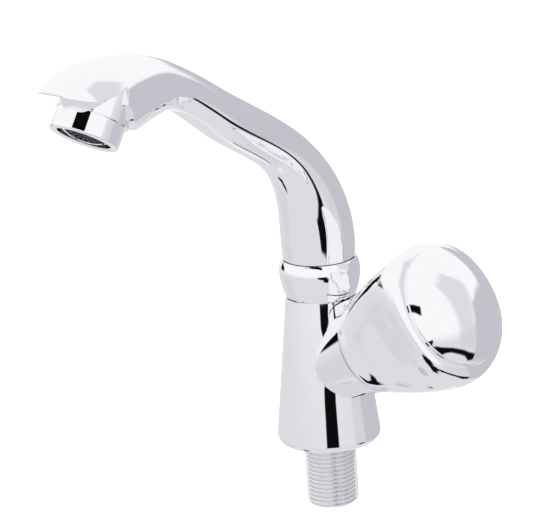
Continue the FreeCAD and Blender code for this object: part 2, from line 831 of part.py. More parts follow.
def aerator_housing():
    """Round outlet sleeve, threaded into the nose, with a ledge for the insert."""
    body = new_body("aerator_housing")
    add_turned(body, [
        (D.aerator_mouth_radius, 0),
        (D.aerator_radius - D.aerator_edge, 0, D.aerator_edge),
        (D.aerator_radius, D.aerator_edge),
        (D.aerator_radius, AERATOR_TOP),
        (D.aerator_thread_radius, AERATOR_TOP),
        (D.aerator_thread_radius, AERATOR_THREAD_TOP),
        (D.aerator_bore_radius, AERATOR_THREAD_TOP),
        (D.aerator_bore_radius, LEDGE_TOP),
        (D.aerator_ledge_radius, LEDGE_TOP),
        (D.aerator_ledge_radius, D.aerator_ledge_place),
        (D.aerator_bore_radius, D.aerator_ledge_place),
        (D.aerator_bore_radius, D.aerator_mouth_radius - D.aerator_bore_radius),
    ])
    return set_along_outlet(body)


def pierced_disc(label, foot, top, hole_radius, hole_circle):
    body = new_body(label)
    radius = D.aerator_bore_radius - D.face_clearance
    add_turned(body, disc_corners(radius, foot, top))
    hole = cut_pocket(body, lambda sketch: draw_circle(sketch, hole_radius, hole_circle), top, top - foot)
    repeat_round(body, hole, HOLE_COUNT)
    cut_pocket(body, lambda sketch: draw_circle(sketch, hole_radius * 2), top, top - foot)
    return set_along_outlet(body)


def aerator_insert():
    """Plastic insert with jets that rests on the housing's ledge."""
    return pierced_disc("aerator_insert", LEDGE_TOP, INSERT_TOP, D.insert_hole_radius, D.insert_hole_circle)


def aerator_screen():
    """Steel strainer over the insert."""
    return pierced_disc("aerator_screen", INSERT_TOP, INSERT_TOP + D.screen_thickness, D.screen_hole_radius,
                        D.screen_hole_circle)


def aerator_washer():
    """Rubber ring between the housing's top and the bottom of the nose's socket."""
    body = new_body("aerator_washer")
    foot = AERATOR_THREAD_TOP
    add_turned(body, ring_corners(D.aerator_washer_bore, D.aerator_thread_radius, foot,
                                  foot + D.aerator_washer_thickness))
    return set_along_outlet(body)


# Turning knob

def spindle():
    """Spindle with the driving thread, collar, ring grooves, circlip groove and square end."""
    body = new_body("spindle")
    collar_foot = SPINDLE_COLLAR_TOP - D.spindle_collar_thickness
    half_square = D.spindle_square / 2
    add_turned(body, [
        (0, D.spindle_foot),
        (D.spindle_radius, D.spindle_foot),
        (D.spindle_radius, collar_foot),
        (D.spindle_collar_radius, collar_foot),
        (D.spindle_collar_radius, SPINDLE_COLLAR_TOP),
        (D.spindle_radius, SPINDLE_COLLAR_TOP),
        (D.spindle_radius, D.spindle_shoulder),
        (0, D.spindle_shoulder),
    ])
    add_pad(body, lambda sketch: draw_outline(sketch, box_corners(half_square, half_square)), D.spindle_shoulder,
            D.spindle_top - D.spindle_shoulder)
    half_groove = D.spindle_groove_width / 2
    for height in SPINDLE_RING_HEIGHTS:
        cut_turned(body, ring_corners(D.spindle_groove_radius, D.spindle_radius, height - half_groove,
                                      height + half_groove))
    cut_turned(body, ring_corners(D.circlip_groove_radius, D.spindle_radius, CIRCLIP_FOOT - D.face_clearance,
                                  CIRCLIP_TOP + D.face_clearance))
    cut_turned(body, disc_corners(D.screw_hole_radius, D.spindle_top - D.screw_hole_depth, D.spindle_top))
    return set_along_knob(body)


def spindle_o_rings():
    return o_rings("spindle_o_rings", D.spindle_groove_radius, D.spindle_ring_section, SPINDLE_RING_HEIGHTS,
                   set_along_knob)


def spindle_thrust_washer():
    """Slippery washer between the spindle's collar and the bonnet's shoulder."""
    body = new_body("spindle_thrust_washer")
    bore = D.spindle_radius + D.fit_clearance
    add_turned(body, ring_corners(bore, D.spindle_collar_radius, SPINDLE_COLLAR_TOP, THRUST_WASHER_TOP))
    return set_along_knob(body)


def spindle_circlip():
    """Open steel ring that holds the spindle in the bonnet."""
    body = new_body("spindle_circlip")
    bore = D.circlip_groove_radius + D.ring_clearance
    add_turned(body, ring_corners(bore, D.circlip_radius, CIRCLIP_FOOT, CIRCLIP_TOP), D.circlip_arc)
    return set_along_knob(body)


def knob_bush():
    """Flanged bush that carries the knob on the spindle's square end."""
    body = new_body("knob_bush")
    half_square = D.spindle_square / 2 + D.fit_clearance
    add_turned(body, [
        (0, D.bush_foot),
        (D.bush_radius, D.bush_foot),
        (D.bush_radius, D.cap_recess_floor),
        (D.bush_flange_radius, D.cap_recess_floor),
        (D.bush_flange_radius, BUSH_TOP),
        (0, BUSH_TOP),
    ])
    cut_pocket(body, lambda sketch: draw_outline(sketch, box_corners(half_square, half_square)), BUSH_TOP,
               BUSH_TOP - D.bush_foot)
    return set_along_knob(body)


def knob_screw():
    """Slotted screw that holds the knob and its bush on the spindle."""
    body = new_body("knob_screw")
    head_top = BUSH_TOP + D.knob_screw_head_height
    add_turned(body, [
        (0, BUSH_TOP - D.knob_screw_length),
        (D.knob_screw_radius, BUSH_TOP - D.knob_screw_length),
        (D.knob_screw_radius, BUSH_TOP),
        (D.knob_screw_head_radius, BUSH_TOP),
        (D.knob_screw_head_radius, head_top),
        (0, head_top),
    ])
    slot = box_corners(D.knob_screw_head_radius + 1, D.knob_screw_slot_width / 2)
    cut_pocket(body, lambda sketch: draw_outline(sketch, slot), head_top, D.knob_screw_slot_depth)
    return set_along_knob(body)


def knob_section(share):
    """A three-sided section of the grip: three bulging sides joined by rounded ridges, all of them arcs."""
    round_off = D.knob_ridge_round + D.knob_ridge_flare * (1 - share) ** 4
    cove = min(max((share - 0.56) / 0.36, 0), 1)
    side = D.knob_side_radius + D.knob_side_flare * share + D.knob_side_cove * (cove * cove * (3 - 2 * cove))
    ridge = D.knob_ridge_radius + D.knob_ridge_flare * (1 - (1 - share) ** 1.6)
    inner_side = side - round_off
    inner_ridge = ridge - round_off
    offset = (inner_ridge * inner_ridge - inner_side * inner_side) / (2 * inner_side - inner_ridge)
    bulge = offset + side
    half_angle = slope_of(inner_ridge * sine(60), inner_ridge * cosine(60) + offset)
    across = bulge * cosine(half_angle) - offset
    along = bulge * sine(half_angle)
    sketch = doc.addObject("Sketcher::SketchObject", "knob_section")
    bind(sketch, "Placement.Base.z", KNOB_FOOT + (D.knob_front - KNOB_FOOT) * share)
    corners = []
    for turned in (0, 120, 240):
        angle = D.knob_side_turn + turned
        corners += [
            (across * cosine(angle) + along * sine(angle), across * sine(angle) - along * cosine(angle), bulge),
            (across * cosine(angle) - along * sine(angle), across * sine(angle) + along * cosine(angle), round_off),
        ]
    return draw_outline(sketch, corners)


def knob_shell():
    """Hollow grip: a skirt that swells into three sides and ridges, under a round shoulder."""
    sides = loft_through("knob_sides", [knob_section(share) for share in (0.0, 0.12, 0.3, 0.5, 0.66, 0.8, 0.92, 1.0)])
    shoulder = new_body("knob_shoulder")
    add_turned(shoulder, [
        (0, KNOB_FOOT),
        (D.knob_shoulder_radius, KNOB_FOOT),
        (D.knob_shoulder_radius, D.knob_shoulder_place, D.knob_shoulder_curve),
        (D.knob_front_radius, D.knob_front),
        (0, D.knob_front),
    ])
    hollow = new_body("knob_hollow")
    bush_hole = D.bush_radius + D.face_clearance
    add_turned(hollow, [
        (0, KNOB_FOOT - 1),
        (D.knob_cavity_radius, KNOB_FOOT - 1),
        (D.knob_cavity_radius, D.knob_cavity_floor),
        (D.knob_hub_radius, D.knob_cavity_floor),
        (D.knob_hub_radius, D.knob_hub_foot),
        (bush_hole, D.knob_hub_foot),
        (bush_hole, D.cap_recess_floor),
        (D.cap_recess_radius, D.cap_recess_floor),
        (D.cap_recess_radius, D.knob_front + 1),
        (0, D.knob_front + 1),
    ])
    grip = doc.addObject("Part::Common", "knob_grip")
    grip.Base = sides
    grip.Tool = shoulder
    return set_along_knob(cut("knob_shell", grip, hollow))


def knob_cap():
    """Domed cap that closes the knob's face and hides its screw."""
    body = new_body("knob_cap")
    spigot = D.cap_recess_radius - D.face_clearance
    hollow = spigot - D.cap_spigot_wall
    apex = CAP_RIM + D.cap_dome_height
    dome = (D.cap_radius * D.cap_radius + D.cap_dome_height * D.cap_dome_height) / (2 * D.cap_dome_height)
    inner_rise = D.cap_dome_height - D.cap_wall
    inner_dome = (hollow * hollow + inner_rise * inner_rise) / (2 * inner_rise)
    add_turned(body, [
        (hollow, D.knob_front - D.cap_spigot_length),
        (spigot, D.knob_front - D.cap_spigot_length),
        (spigot, D.knob_front),
        (D.cap_radius, D.knob_front),
        (D.cap_radius, CAP_RIM, dome),
        (0, apex),
        (0, CAP_RIM + inner_rise, -inner_dome),
        (hollow, CAP_RIM),
    ])
    return set_along_knob(body)


# Sliding valve

def valve_carrier():
    """Carrier that climbs the spindle's thread, kept from turning by its two keys."""
    body = new_body("valve_carrier")
    flange_top = CARRIER_FOOT + D.carrier_flange_thickness
    add_turned(body, [
        (0, WASHER_FOOT - D.washer_stud_length),
        (D.washer_stud_radius, WASHER_FOOT - D.washer_stud_length),
        (D.washer_stud_radius, CARRIER_FOOT),
        (D.carrier_flange_radius, CARRIER_FOOT),
        (D.carrier_flange_radius, flange_top),
        (D.carrier_radius, flange_top),
        (D.carrier_radius, D.carrier_top),
        (0, D.carrier_top),
    ])
    add_pad(body, lambda sketch: draw_outline(sketch, box_corners(D.carrier_key_radius, D.carrier_key_width / 2)),
            D.carrier_key_foot, D.carrier_key_height)
    cut_turned(body, disc_corners(D.spindle_radius + D.fit_clearance, D.carrier_bore_floor, D.carrier_top))
    return set_along_knob(body)


def tap_washer():
    """Rubber washer that shuts on the seat."""
    body = new_body("tap_washer")
    add_turned(body, ring_corners(D.washer_stud_radius + D.face_clearance, D.washer_radius, WASHER_FOOT,
                                  CARRIER_FOOT))
    return set_along_knob(body)


def washer_nut():
    """Small nut that holds the tap washer on its stud, inside the seat's hole."""
    body = new_body("washer_nut")
    foot = WASHER_FOOT - D.washer_nut_thickness
    add_pad(body, lambda sketch: draw_outline(sketch, hexagon_corners(D.washer_nut_flats)), foot,
            D.washer_nut_thickness)
    cut_turned(body, disc_corners(D.washer_stud_radius + D.face_clearance, foot, WASHER_FOOT))
    return set_along_knob(body)


PIECES = [
    body_casting(), inlet_shank(), valve_seat(), spout_collar(), spout_slip_washer(), headwork_bonnet(),
    headwork_seal_washer(),
    spout_casting(), spout_tail(), tail_o_rings(), spout_split_ring(), aerator_housing(), aerator_insert(),
    aerator_screen(), aerator_washer(),
    spindle(), spindle_o_rings(), spindle_thrust_washer(), spindle_circlip(), knob_bush(), knob_screw(),
    knob_shell(), knob_cap(),
    valve_carrier(), tap_washer(), washer_nut(),
]
doc.recompute()
for item in doc.Objects:
    if "Invalid" in item.State or "Error" in item.State:
        raise RuntimeError("The feature failed: " + item.Label)
for piece in PIECES:
    if piece.Shape.isNull() or not piece.Shape.isValid() or not piece.Shape.Solids:
        raise RuntimeError("The shape is not sound: " + piece.Label)

os.makedirs("parts", exist_ok=True)
for piece in PIECES:
    piece.Shape.exportStep("parts/%s.step" % piece.Label)
    corners = piece.Shape.BoundBox
    print("%-22s solids %d volume %9.1f  x %7.2f %7.2f  y %7.2f %7.2f  z %7.2f %7.2f" % (
        piece.Label, len(piece.Shape.Solids), piece.Shape.Volume, corners.XMin, corners.XMax, corners.YMin,
        corners.YMax, corners.ZMin, corners.ZMax))
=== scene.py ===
import math

import bmesh
import bpy
import numpy as np
from mathutils import Matrix, Vector


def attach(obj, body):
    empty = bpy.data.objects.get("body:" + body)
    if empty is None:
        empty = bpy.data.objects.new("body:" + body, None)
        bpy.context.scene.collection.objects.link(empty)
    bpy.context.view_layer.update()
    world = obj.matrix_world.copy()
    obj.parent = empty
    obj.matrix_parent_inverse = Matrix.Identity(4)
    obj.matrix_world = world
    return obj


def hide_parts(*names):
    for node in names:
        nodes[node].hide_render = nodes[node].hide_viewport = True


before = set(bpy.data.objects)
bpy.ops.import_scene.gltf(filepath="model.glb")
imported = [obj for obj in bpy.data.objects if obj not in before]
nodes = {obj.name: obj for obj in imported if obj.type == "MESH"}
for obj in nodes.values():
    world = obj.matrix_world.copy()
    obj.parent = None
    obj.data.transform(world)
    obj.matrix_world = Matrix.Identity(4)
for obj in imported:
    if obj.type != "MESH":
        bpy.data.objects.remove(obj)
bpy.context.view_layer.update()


# Materials

SMEAR_SCALE = 42
SMEAR_DETAIL = 3
RIPPLE_SCALE = 900
RIPPLE_DETAIL = 2
RIPPLE_DEPTH = 0.00001
SPECKLE_DETAIL = 4
SPECKLE_ROUGHNESS = 0.6
SPECKLE_DEPTH = 0.00005
DARK_SPECK, LIGHT_SPECK = 0.85, 1.1
SMOOTH_SPECK, ROUGH_SPECK = 0.8, 1.2


def new_material(name):
    material = bpy.data.materials.new(name)
    material.use_nodes = True
    tree = material.node_tree
    shader = tree.nodes["Principled BSDF"]
    return material, tree, shader


def add_node(tree, kind, **settings):
    node = tree.nodes.new(kind)
    for key, setting in settings.items():
        setattr(node, key, setting)
    return node


def noise(tree, scale, detail, roughness=0.5):
    place = add_node(tree, "ShaderNodeTexCoord")
    texture = add_node(tree, "ShaderNodeTexNoise")
    texture.inputs["Scale"].default_value = scale
    texture.inputs["Detail"].default_value = detail
    texture.inputs["Roughness"].default_value = roughness
    tree.links.new(place.outputs["Object"], texture.inputs["Vector"])
    return texture


def spread(tree, factor, low, high):
    """A value between low and high that follows a factor from 0 to 1."""
    node = add_node(tree, "ShaderNodeMapRange")
    node.inputs["To Min"].default_value = low
    node.inputs["To Max"].default_value = high
    tree.links.new(factor, node.inputs["Value"])
    return node.outputs["Result"]


def raise_surface(tree, shader, texture, strength, depth):
    """A surface that rises and falls with a texture."""
    raised = add_node(tree, "ShaderNodeBump")
    raised.inputs["Strength"].default_value = strength
    raised.inputs["Distance"].default_value = depth
    tree.links.new(texture.outputs["Fac"], raised.inputs["Height"])
    tree.links.new(raised.outputs["Normal"], shader.inputs["Normal"])


def chrome(name, tint, low, high, bump):
    """Metal whose gloss is a little uneven, and its surface too where a bump is given."""
    material, tree, shader = new_material(name)
    shader.inputs["Base Color"].default_value = (*tint, 1)
    shader.inputs["Metallic"].default_value = 1
    smear = noise(tree, SMEAR_SCALE, SMEAR_DETAIL)
    tree.links.new(spread(tree, smear.outputs["Fac"], low, high), shader.inputs["Roughness"])
    if bump:
        ripple = noise(tree, RIPPLE_SCALE, RIPPLE_DETAIL)
        raise_surface(tree, shader, ripple, bump, RIPPLE_DEPTH)
    return material


def moulded(name, colour, roughness, grain, bump):
    """Rubber, plastic or fibre: a fine grain in its colour, gloss and surface."""
    material, tree, shader = new_material(name)
    speckle = noise(tree, grain, SPECKLE_DETAIL, SPECKLE_ROUGHNESS)
    shade = add_node(tree, "ShaderNodeMix", data_type="RGBA")
    shade.inputs["A"].default_value = (*[part * DARK_SPECK for part in colour], 1)
    shade.inputs["B"].default_value = (*[min(part * LIGHT_SPECK, 1) for part in colour], 1)
    tree.links.new(speckle.outputs["Fac"], shade.inputs["Factor"])
    tree.links.new(shade.outputs["Result"], shader.inputs["Base Color"])
    gloss = spread(tree, speckle.outputs["Fac"], roughness * SMOOTH_SPECK, roughness * ROUGH_SPECK)
    tree.links.new(gloss, shader.inputs["Roughness"])
    raise_surface(tree, shader, speckle, bump, SPECKLE_DEPTH)
    return material


FINISHES = {
    "polished_chrome": chrome("polished_chrome", (0.93, 0.935, 0.95), low=0.012, high=0.035, bump=0),
    "threaded_chrome": chrome("threaded_chrome", (0.86, 0.865, 0.88), low=0.06, high=0.14, bump=0.3),
    "knob_chrome": chrome("knob_chrome", (0.93, 0.935, 0.95), low=0.015, high=0.04, bump=0),
    "brass": chrome("brass", (0.83, 0.63, 0.32), low=0.22, high=0.38, bump=0.4),
    "steel": chrome("steel", (0.6, 0.6, 0.61), low=0.2, high=0.32, bump=0.3),
    "black_rubber": moulded("black_rubber", (0.02, 0.02, 0.022), roughness=0.65, grain=700, bump=0.5),
    # Painted shade: the aerator insert is coloured near black so that the outlet's opening shows the shadow
    # deep inside it.
    "insert_painted_shade": moulded("insert_painted_shade", (0.012, 0.012, 0.013), roughness=0.6, grain=500, bump=0.2),
    "white_plastic": moulded("white_plastic", (0.85, 0.86, 0.87), roughness=0.35, grain=500, bump=0.2),
    "fibre": moulded("fibre", (0.45, 0.12, 0.07), roughness=0.8, grain=900, bump=0.7),
}
NODE_FINISHES = {
    "body_casting": "polished_chrome", "spout_collar": "polished_chrome", "spout_casting": "polished_chrome",
    "aerator_housing": "polished_chrome", "knob_shell": "knob_chrome", "knob_cap": "knob_chrome",
    "inlet_shank": "threaded_chrome", "valve_seat": "brass", "headwork_bonnet": "brass", "spindle": "brass",
    "spout_tail": "brass", "knob_bush": "brass", "valve_carrier": "brass", "washer_nut": "brass",
    "knob_screw": "steel", "spindle_circlip": "steel", "aerator_screen": "steel",
    "tail_o_rings": "black_rubber", "spindle_o_rings": "black_rubber", "aerator_washer": "black_rubber",
    "tap_washer": "black_rubber", "spout_slip_washer": "white_plastic", "spout_split_ring": "white_plastic",
    # The aerator insert takes the near-black painted shade that stands for the shadow inside the outlet's
    # opening.
    "spindle_thrust_washer": "white_plastic", "aerator_insert": "insert_painted_shade",
    "headwork_seal_washer": "fibre",
}
for name, node in nodes.items():
    node.data.materials.clear()
    node.data.materials.append(FINISHES[NODE_FINISHES[name]])


# Rows of points and the meshes over them

def turns(columns):
    """The angles of the columns round a circle."""
    return [math.tau * column / columns for column in range(columns)]


def side_faces(row_count, width, joined_up):
    """Faces between rows of points, each row running round to its start."""
    faces = []
    for row in range(row_count if joined_up else row_count - 1):
        low, high = row * width, (row + 1) % row_count * width
        for column in range(width):
            following = (column + 1) % width
            faces.append((low + column, low + following, high + following, high + column))
    return faces


def add_object(name, data):
    thing = bpy.data.objects.new(name, data)
    bpy.context.collection.objects.link(thing)
    return thing


def upright_ring(radius, height, columns):
    return [(radius * math.cos(turned), radius * math.sin(turned), height) for turned in turns(columns)]


# Threaded shank

PITCH = 0.001814
THREAD_DEPTH = 0.00116
THREAD_RADIUS = 0.0104775
THREAD_FOOT, THREAD_TOP = -0.027, -0.0006
CREST_SHARE, FLANK_SHARE = 0.17, 0.66
THREAD_ROUNDING = 0.06
FOOT_BEVEL = 0.001
BORE_RADIUS = 0.0065
BORE_FOOT_RADIUS = 0.0068
BORE_BEVEL_TOP = -0.0262
RELIEF_RADIUS, RELIEF_TOP = 0.0099, 0.0012
SPIGOT_RADIUS, SPIGOT_TOP = 0.0096, 0.009
STEPS_PER_TURN = 16
SHANK_COLUMNS = 112
SHANK_SHARP_FROM = math.radians(50)


def thread_radius(height, turned):
    """The radius of a rounded 55 degree thread, bevelled at its foot."""
    phase = (height / PITCH - turned / math.tau) % 1
    flank = abs(phase - 0.5) * 2
    sunk = min(max((flank - CREST_SHARE) / FLANK_SHARE, 0), 1)
    rounded = sunk - THREAD_ROUNDING * math.sin(math.tau * sunk)
    bevel = THREAD_RADIUS - FOOT_BEVEL + (height - THREAD_FOOT)
    return min(THREAD_RADIUS - THREAD_DEPTH * rounded, bevel)


def thread_ring(height):
    ring = []
    for turned in turns(SHANK_COLUMNS):
        radius = thread_radius(height, turned)
        ring.append((radius * math.cos(turned), radius * math.sin(turned), height))
    return ring


def shank_rings():
    """Down the bore, round the foot, up the thread and its relief, and up the spigot inside the body."""
    bore = [(BORE_RADIUS, SPIGOT_TOP), (BORE_RADIUS, BORE_BEVEL_TOP), (BORE_FOOT_RADIUS, THREAD_FOOT)]
    above = [(RELIEF_RADIUS, THREAD_TOP), (RELIEF_RADIUS, RELIEF_TOP),
             (SPIGOT_RADIUS, RELIEF_TOP), (SPIGOT_RADIUS, SPIGOT_TOP)]
    count = round((THREAD_TOP - THREAD_FOOT) / PITCH * STEPS_PER_TURN)
    heights = [THREAD_FOOT + (THREAD_TOP - THREAD_FOOT) * index / count for index in range(count + 1)]
    return ([upright_ring(radius, height, SHANK_COLUMNS) for radius, height in bore]
            + [thread_ring(height) for height in heights]
            + [upright_ring(radius, height, SHANK_COLUMNS) for radius, height in above])


def shank_mesh():
    rings = shank_rings()
    mesh = bpy.data.meshes.new("threaded_shank")
    mesh.from_pydata([point for ring in rings for point in ring], [],
                     side_faces(len(rings), SHANK_COLUMNS, True))
    mesh.materials.append(FINISHES["threaded_chrome"])
    mesh.shade_smooth()
    return mesh


shank = add_object("threaded_shank", shank_mesh())
shank_edges = shank.modifiers.new("edges", "EDGE_SPLIT")
shank_edges.split_angle = SHANK_SHARP_FROM
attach(shank, "tap_body")
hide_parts("inlet_shank")


# Swan neck, with its hood and the boss over the outlet

SPOUT_FOOT = 0.07695
NECK_RISE = 0.006
FOOT_RADIUS, BULGE_RADIUS = 0.0144, 0.01475
BEND_RADIUS = 0.055
BEND_TURN = math.radians(57.5)
BEND_STEPS = 4
MIDDLE_RADIUS, END_RADIUS = 0.0096, 0.0088
WATERWAY_RADIUS = 0.0058
WATERWAY_COLUMNS = 32
WATERWAY_ROWS_SHORT = 14
FOOT_SOCKET_RADIUS, FOOT_SOCKET_HEIGHT = 0.009, 0.009
FOOT_SOCKET_COLUMNS = 64
CUT_PAST = 0.001
OUTLET = Vector((0, -0.1224, 0.1528))
OUTLET_TILT = math.radians(34)
SEAT = 0.0085
NOSE_LIP, NOSE_HEEL, NOSE_BACK = 0.0235, 0.0166, 0.031
NOSE_CROWN, NOSE_THROAT, NOSE_HALF_WIDTH = 0.0332, 0.0154, 0.016
NOSE_BACK_MORE = 0.0015
NOSE_SHARES = (0, 0.18, 0.44, 0.72, 0.85, 0.93, 0.98, 1)
RIDGE_POWER, RIDGE_ROOT = 1.6, 0.625
BOSS_RADIUS, BOSS_SET_BACK, BOSS_HEIGHT, BOSS_STEP = 0.0137, 0.0007, 0.013, 0.0027
ARCH_REACH, ARCH_HEIGHT, ARCH_CURVE, ARCH_CORNER = 0.002, 0.013, 0.026, 0.006
ARCH_CORNER_LEAN = 0.6
ARCH_TIP_MORE = 0.0015
ARCH_LIP = 0.00035
ARCH_PAST = 0.005
ARCH_PAST_HEEL = 0.006
ARCH_PAST_SIDE = 0.006
CORNER_STEPS, CROWN_STEPS = 12, 40
NOSE_SOCKET_RADIUS, NOSE_SOCKET_TOP = 0.012, 0.01575
NECK_ROWS, NECK_COLUMNS = 190, 128
EDGE_ROUNDING = 0.00025
EDGE_ROUNDING_STEPS = 2
EDGE_ROUNDED_FROM = math.radians(40)


def ease(share):
    return share * share * (3 - 2 * share)


def on_outlet(side, up, across=0.0):
    """A point in the outlet's own frame, whose up axis leans with the nose."""
    return OUTLET + Matrix.Rotation(-OUTLET_TILT, 3, "X") @ Vector((across, side, up))


def round_station(angle, height, radius):
    """The ridge, the heel and the half width of a round section on the bend's centre line."""
    centre = Vector((0, -BEND_RADIUS * (1 - math.cos(angle)), height + BEND_RADIUS * math.sin(angle)))
    outward = Vector((0, math.cos(angle), math.sin(angle))) * radius
    return centre + outward, centre - outward, radius


def nose_station(share):
    """An oval section of the nose, which fans round from the neck's end to the flat seat."""
    ridge = on_outlet(NOSE_BACK - (NOSE_LIP + NOSE_BACK) * share,
                      SEAT + NOSE_CROWN * (1 - share ** RIDGE_POWER) ** RIDGE_ROOT)
    back = NOSE_BACK + NOSE_BACK_MORE
    heel = on_outlet(back - (back - NOSE_HEEL) * share, SEAT + NOSE_THROAT * (1 - share))
    return ridge, heel, END_RADIUS + (NOSE_HALF_WIDTH - END_RADIUS) * ease(share)


def neck_stations():
    """Sections up the foot, round the bend, half way down the neck and through the nose."""
    bend_foot = SPOUT_FOOT + NECK_RISE
    stations = [round_station(0, SPOUT_FOOT, FOOT_RADIUS), round_station(0, bend_foot, BULGE_RADIUS)]
    for step in range(1, BEND_STEPS + 1):
        share = step / BEND_STEPS
        radius = BULGE_RADIUS + (MIDDLE_RADIUS - BULGE_RADIUS) * ease(share)
        stations.append(round_station(BEND_TURN * share, bend_foot, radius))
    bend_end, nose_start = stations[-1], nose_station(0)
    stations.append(tuple((first + last) / 2 for first, last in zip(bend_end, nose_start)))
    return stations + [nose_station(share) for share in NOSE_SHARES]


def spline_bending(knots, values):
    """The second slopes of a natural cubic spline at its knots."""
    gaps = np.diff(knots)
    count = len(knots)
    system = np.eye(count)
    wanted = np.zeros((count, values.shape[1]))
    for index in range(1, count - 1):
        before, after = gaps[index - 1], gaps[index]
        system[index, index - 1:index + 2] = before, 2 * (before + after), after
        wanted[index] = 6 * ((values[index + 1] - values[index]) / after
                             - (values[index] - values[index - 1]) / before)
    return np.linalg.solve(system, wanted)


def smooth_path(knots, values, places):
    """A natural cubic spline through the values at the knots, read at the places."""
    bending = spline_bending(knots, values)
    spans = np.clip(np.searchsorted(knots, places, side="right") - 1, 0, len(knots) - 2)
    gap = np.diff(knots)[spans][:, None]
    past = (places - knots[spans])[:, None]
    left = gap - past
    return ((bending[spans] * left ** 3 + bending[spans + 1] * past ** 3) / (6 * gap)
            + (values[spans] / gap - bending[spans] * gap / 6) * left
            + (values[spans + 1] / gap - bending[spans + 1] * gap / 6) * past)


def neck_rows(row_count):
    """Ridge, heel and half width down the whole neck, evenly spaced."""
    values = np.array([(ridge.y, ridge.z, heel.y, heel.z, half_width)
                       for ridge, heel, half_width in neck_stations()])
    steps = np.diff(values, axis=0)
    lengths = (np.hypot(steps[:, 0], steps[:, 1]) + np.hypot(steps[:, 2], steps[:, 3])) / 2
    knots = np.concatenate([[0], np.cumsum(lengths)])
    return smooth_path(knots, values, np.linspace(0, knots[-1], row_count))


def closed_mesh(name, rings):
    """A solid through rings of points, closed flat at both ends."""
    width = len(rings[0])
    count = len(rings) * width
    ends = [tuple(reversed(range(width))), tuple(range(count - width, count))]
    mesh = bpy.data.meshes.new(name)
    mesh.from_pydata([point for ring in rings for point in ring], [],
                     ends + side_faces(len(rings), width, False))
    shape = bmesh.new()
    shape.from_mesh(mesh)
    bmesh.ops.recalc_face_normals(shape, faces=shape.faces)
    shape.to_mesh(mesh)
    shape.free()
    return add_object(name, mesh)


def oval_ring(centre, outward, half_width, columns):
    aside = Vector((half_width, 0, 0))
    return [centre + outward * math.cos(turned) + aside * math.sin(turned) for turned in turns(columns)]


def ring_on_outlet(radius, up, side=0.0):
    return [on_outlet(side + radius * math.cos(turned), up, radius * math.sin(turned))
            for turned in turns(NECK_COLUMNS)]


def arc_points(start, end, radius, steps):
    """Points on the short arc from start to end; a positive radius bulges to the right of the way."""
    half = (end - start) / 2
    left = Vector((-half.y, half.x)).normalized()
    rise = math.sqrt(radius ** 2 - half.length ** 2) * (1 if radius > 0 else -1)
    centre = start + half + left * rise
    first, last = start - centre, end - centre
    sweep = math.atan2(first.x * last.y - first.y * last.x, first.dot(last))
    return [centre + Matrix.Rotation(sweep * step / steps, 2) @ first for step in range(1, steps)]


def arch_outline():
    """What is left open under the hood, seen from the side."""
    tip = -(NOSE_LIP + ARCH_TIP_MORE)
    heel = NOSE_HEEL + ARCH_PAST_HEEL
    step = SEAT + BOSS_STEP
    corner, corner_end = Vector((ARCH_CORNER, step)), Vector((0, step + ARCH_CORNER * ARCH_CORNER_LEAN))
    crown, crown_end = Vector((-ARCH_REACH, SEAT + ARCH_HEIGHT)), Vector((tip, SEAT - ARCH_LIP))
    return [Vector((tip - ARCH_PAST, SEAT - ARCH_PAST)), Vector((heel, SEAT - ARCH_PAST)),
            Vector((heel, step)),
            corner, *arc_points(corner, corner_end, ARCH_CORNER, CORNER_STEPS), corner_end,
            crown, *arc_points(crown, crown_end, -ARCH_CURVE, CROWN_STEPS), crown_end,
            Vector((tip - ARCH_PAST, SEAT - ARCH_LIP))]


def neck_rings():
    """The rings of the neck's outside and those of the waterway down its middle."""
    outer, water = [], []
    for ridge_y, ridge_z, heel_y, heel_z, half_width in neck_rows(NECK_ROWS):
        centre = Vector((0, (ridge_y + heel_y) / 2, (ridge_z + heel_z) / 2))
        outward = Vector((0, (ridge_y - heel_y) / 2, (ridge_z - heel_z) / 2))
        inner = outward.normalized() * WATERWAY_RADIUS
        outer.append(oval_ring(centre, outward, half_width, NECK_COLUMNS))
        water.append(oval_ring(centre, inner, WATERWAY_RADIUS, WATERWAY_COLUMNS))
    return outer, water[:-WATERWAY_ROWS_SHORT]


def neck_tools(water):
    """The solids that are cut from the neck or joined to it, in turn, each with how."""
    half_arch = NOSE_HALF_WIDTH + ARCH_PAST_SIDE
    arch = [[on_outlet(point.x, point.y, across) for point in arch_outline()]
            for across in (-half_arch, half_arch)]
    boss = [ring_on_outlet(BOSS_RADIUS, up, BOSS_SET_BACK) for up in (SEAT, SEAT + BOSS_HEIGHT)]
    nose_socket = [ring_on_outlet(NOSE_SOCKET_RADIUS, up) for up in (0, NOSE_SOCKET_TOP)]
    foot_socket = [upright_ring(FOOT_SOCKET_RADIUS, up, FOOT_SOCKET_COLUMNS)
                   for up in (SPOUT_FOOT - CUT_PAST, SPOUT_FOOT + FOOT_SOCKET_HEIGHT)]
    return [(closed_mesh("arch", arch), "DIFFERENCE"),
            (closed_mesh("boss", boss), "UNION"),
            (closed_mesh("water", water), "DIFFERENCE"),
            (closed_mesh("nose_socket", nose_socket), "DIFFERENCE"),
            (closed_mesh("foot_socket", foot_socket), "DIFFERENCE")]


def combined_mesh(base, tools):
    """The mesh of a base with its tools cut and joined; base and tools are removed."""
    for tool, operation in tools:
        change = base.modifiers.new(operation.lower(), "BOOLEAN")
        change.operation = operation
        change.object = tool
        change.solver = "EXACT"
    bpy.context.view_layer.update()
    mesh = bpy.data.meshes.new_from_object(base.evaluated_get(bpy.context.evaluated_depsgraph_get()))
    for thing in [base] + [tool for tool, operation in tools]:
        bpy.data.objects.remove(thing)
    return mesh


